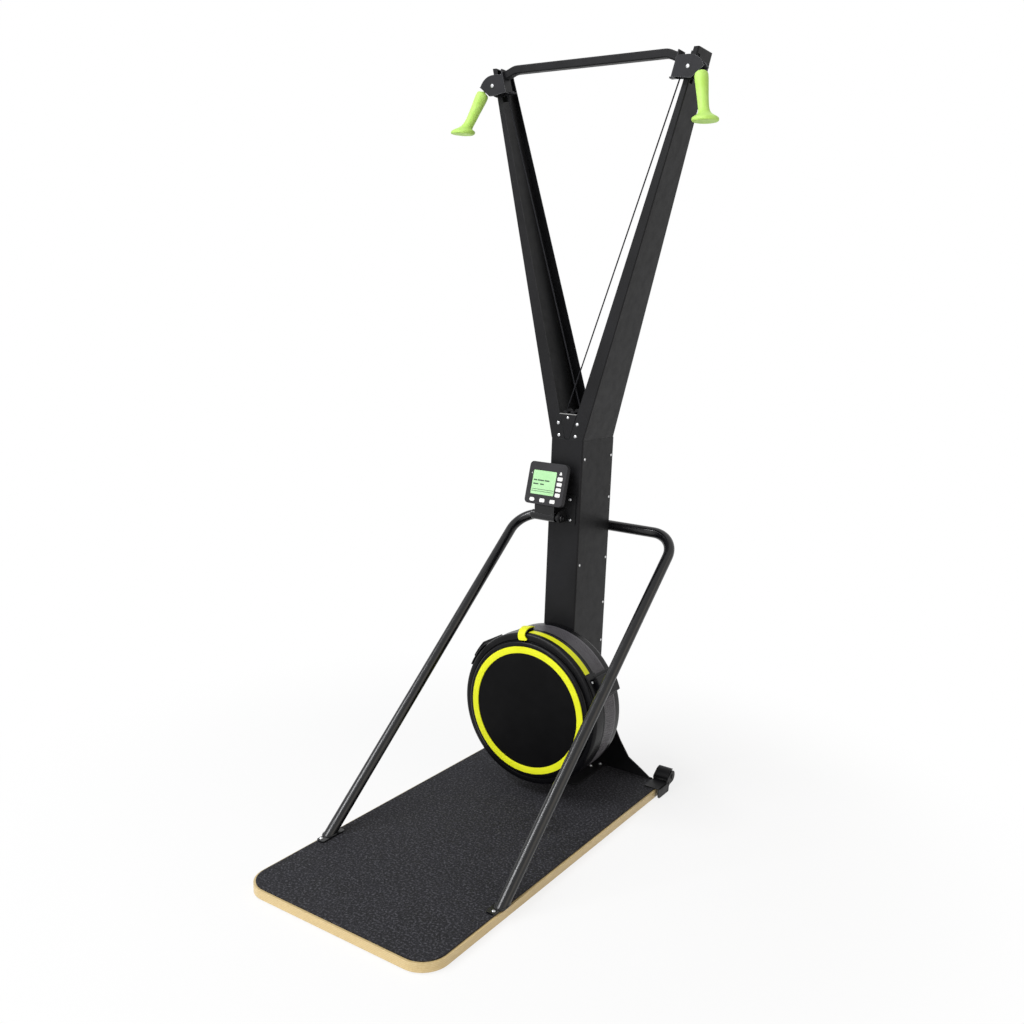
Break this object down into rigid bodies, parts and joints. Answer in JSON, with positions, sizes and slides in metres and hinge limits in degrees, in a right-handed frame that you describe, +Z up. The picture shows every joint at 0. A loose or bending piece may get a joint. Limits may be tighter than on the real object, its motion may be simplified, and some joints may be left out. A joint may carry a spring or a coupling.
{
  "type": "ski trainer machine",
  "caption": "Standing ski trainer: platform with wooden edge, column splitting into a tall V, two corded pull handles, air flywheel drum with damper lever, bent rail and tilting monitor.",
  "frame": {"origin": "centre of the machine's footprint on the floor, halfway along its overall length and on its mirror plane", "axes": "+Z up, +Y towards the column and the transport rollers, +X to the right of someone looking from the platform's front edge at the column"},
  "size_m": [0.838, 1.195, 2.118],
  "materials": {
    "black_paint": "satin powder coat",
    "charcoal_paint": "fine textured powder coat",
    "black_plastic": "fine grained moulding",
    "bright_steel": "zinc plated",
    "grey_steel": "dull",
    "cord_braid": "tight braid",
    "birch_wood": "clear satin lacquer",
    "mat_rubber": "fine pebbled",
    "lime_grip": "smooth soft-touch",
    "yellow_plastic": "semi gloss",
    "display_window": "clear window over a display",
    "key_white": "soft matt"
  },
  "bodies": {
    "frame": {"base_bracket": "black_paint", "roller_bracket_left": "black_paint", "roller_bracket_right": "black_paint", "column_shell": "black_paint", "column_rear_cover": "black_paint", "arm_left": "black_paint", "arm_right": "black_paint", "y_front_plate": "black_paint", "y_rear_plate": "black_paint", "crossbar": "black_paint", "rail_tube": "black_paint", "pulley_bracket_left": "charcoal_paint", "pulley_bracket_right": "charcoal_paint", "monitor_bracket": "charcoal_paint", "front_cover": "black_plastic", "rear_housing": "black_plastic", "drum_clip_left": "black_plastic", "drum_clip_right": "black_plastic", "pulley_pin_left": "bright_steel", "pulley_pin_right": "bright_steel", "front_bearing": "bright_steel", "rear_bearing": "bright_steel", "monitor_pin": "bright_steel", "mesh_band": "grey_steel", "cord_run_left": "cord_braid", "cord_run_right": "cord_braid", "free_cord_left": "cord_braid", "free_cord_right": "cord_braid", "platform_board": "birch_wood", "platform_mat": "mat_rubber", "front_foot_strip": "mat_rubber", "rear_foot_strip": "mat_rubber", "accent_ring": "yellow_plastic", "scale_strip": "yellow_plastic"},
    "roller_left": {"transport_roller_left": "black_plastic"},
    "roller_right": {"transport_roller_right": "black_plastic"},
    "top_pulley_left": {"top_pulley_left": "black_plastic"},
    "top_pulley_right": {"top_pulley_right": "black_plastic"},
    "guide_left": {"guide_pulley_left": "black_plastic"},
    "guide_right": {"guide_pulley_right": "black_plastic"},
    "spool_left": {"cord_spool_left": "grey_steel"},
    "spool_right": {"cord_spool_right": "grey_steel"},
    "grip_left": {"handle_left": "lime_grip"},
    "grip_right": {"handle_right": "lime_grip"},
    "flywheel": {"flywheel_fan": "grey_steel", "drive_shaft": "bright_steel"},
    "damper": {"damper_lever": "yellow_plastic"},
    "monitor": {"monitor_leaf": "black_plastic", "monitor_bezel": "black_plastic", "monitor_back_shell": "black_plastic", "monitor_lens": "display_window"},
    "key_side_button_1": {"side_button_1": "key_white"},
    "key_side_button_2": {"side_button_2": "key_white"},
    "key_side_button_3": {"side_button_3": "key_white"},
    "key_side_button_4": {"side_button_4": "key_white"},
    "key_side_button_5": {"side_button_5": "key_white"},
    "key_bottom_button_1": {"bottom_button_1": "key_white"},
    "key_bottom_button_2": {"bottom_button_2": "key_white"},
    "key_bottom_button_3": {"bottom_button_3": "key_white"}
  },
  "joints": [
    {"name": "transport_roller_left_spin", "type": "hinge", "parent": "frame", "child": "roller_left", "pos_m": [-0.2875, 0.577, 0.043], "axis": [1, 0, 0], "continuous": true},
    {"name": "transport_roller_right_spin", "type": "hinge", "parent": "frame", "child": "roller_right", "pos_m": [0.2875, 0.577, 0.043], "axis": [1, 0, 0], "continuous": true},
    {"name": "handle_left_pull", "type": "slide", "parent": "frame", "child": "grip_left", "axis": [0, 0, -1], "range_m": [0, 1.05], "stiffness_N_per_m": 8, "springref_m": -1, "deforming": ["free_cord_left"]},
    {"name": "handle_right_pull", "type": "slide", "parent": "frame", "child": "grip_right", "axis": [0, 0, -1], "range_m": [0, 1.05], "stiffness_N_per_m": 8, "springref_m": -1, "deforming": ["free_cord_right"]},
    {"name": "top_pulley_left_spin", "type": "hinge", "parent": "frame", "child": "top_pulley_left", "pos_m": [-0.306, 0.3965, 2.067], "axis": [0, 1, 0], "range_deg": [-2314, 0]},
    {"name": "top_pulley_right_spin", "type": "hinge", "parent": "frame", "child": "top_pulley_right", "pos_m": [0.306, 0.3965, 2.067], "axis": [0, 1, 0], "range_deg": [0, 2314]},
    {"name": "guide_pulley_left_spin", "type": "hinge", "parent": "frame", "child": "guide_left", "pos_m": [-0.012, 0.3935, 1.164], "axis": [0, 1, 0], "range_deg": [0, 5324.1]},
    {"name": "guide_pulley_right_spin", "type": "hinge", "parent": "frame", "child": "guide_right", "pos_m": [0.012, 0.3995, 1.164], "axis": [0, 1, 0], "range_deg": [-5324.1, 0]},
    {"name": "cord_spool_left_spin", "type": "hinge", "parent": "frame", "child": "spool_left", "pos_m": [0, 0.4145, 0.3014], "axis": [0, 1, 0], "range_deg": [-2406.6, 0]},
    {"name": "cord_spool_right_spin", "type": "hinge", "parent": "frame", "child": "spool_right", "pos_m": [0, 0.3945, 0.3014], "axis": [0, 1, 0], "range_deg": [-2406.6, 0]},
    {"name": "flywheel_spin", "type": "hinge", "parent": "frame", "child": "flywheel", "pos_m": [0, 0.2835, 0.3014], "axis": [0, 1, 0], "continuous": true},
    {"name": "damper_turn", "type": "hinge", "parent": "frame", "child": "damper", "pos_m": [0, 0.2425, 0.3014], "axis": [0, 1, 0], "range_deg": [0, 55]},
    {"name": "monitor_tilt", "type": "hinge", "parent": "frame", "child": "monitor", "pos_m": [-0.046, 0.3325, 0.8615], "axis": [1, 0, 0], "range_deg": [-4, 30]},
    {"name": "side_button_1_press", "type": "slide", "parent": "monitor", "child": "key_side_button_1", "axis": [0, 0.9697, -0.2445], "range_m": [0, 0.0012], "stiffness_N_per_m": 300, "springref_m": -0.001},
    {"name": "side_button_2_press", "type": "slide", "parent": "monitor", "child": "key_side_button_2", "axis": [0, 0.9697, -0.2445], "range_m": [0, 0.0012], "stiffness_N_per_m": 300, "springref_m": -0.001},
    {"name": "side_button_3_press", "type": "slide", "parent": "monitor", "child": "key_side_button_3", "axis": [0, 0.9697, -0.2445], "range_m": [0, 0.0012], "stiffness_N_per_m": 300, "springref_m": -0.001},
    {"name": "side_button_4_press", "type": "slide", "parent": "monitor", "child": "key_side_button_4", "axis": [0, 0.9697, -0.2445], "range_m": [0, 0.0012], "stiffness_N_per_m": 300, "springref_m": -0.001},
    {"name": "side_button_5_press", "type": "slide", "parent": "monitor", "child": "key_side_button_5", "axis": [0, 0.9697, -0.2445], "range_m": [0, 0.0012], "stiffness_N_per_m": 300, "springref_m": -0.001},
    {"name": "bottom_button_1_press", "type": "slide", "parent": "monitor", "child": "key_bottom_button_1", "axis": [0, 0.9697, -0.2445], "range_m": [0, 0.0012], "stiffness_N_per_m": 300, "springref_m": -0.001},
    {"name": "bottom_button_2_press", "type": "slide", "parent": "monitor", "child": "key_bottom_button_2", "axis": [0, 0.9697, -0.2445], "range_m": [0, 0.0012], "stiffness_N_per_m": 300, "springref_m": -0.001},
    {"name": "bottom_button_3_press", "type": "slide", "parent": "monitor", "child": "key_bottom_button_3", "axis": [0, 0.9697, -0.2445], "range_m": [0, 0.0012], "stiffness_N_per_m": 300, "springref_m": -0.001}
  ],
  "couplings": [
    {"joint": "top_pulley_right_spin", "follows": "handle_right_pull", "rad_per_m": 38.462},
    {"joint": "top_pulley_left_spin", "follows": "handle_left_pull", "rad_per_m": -38.462},
    {"joint": "guide_pulley_left_spin", "follows": "handle_right_pull", "rad_per_m": 88.496},
    {"joint": "guide_pulley_right_spin", "follows": "handle_left_pull", "rad_per_m": -88.496},
    {"joint": "cord_spool_right_spin", "follows": "handle_right_pull", "rad_per_m": -40},
    {"joint": "cord_spool_left_spin", "follows": "handle_left_pull", "rad_per_m": -40}
  ]
}
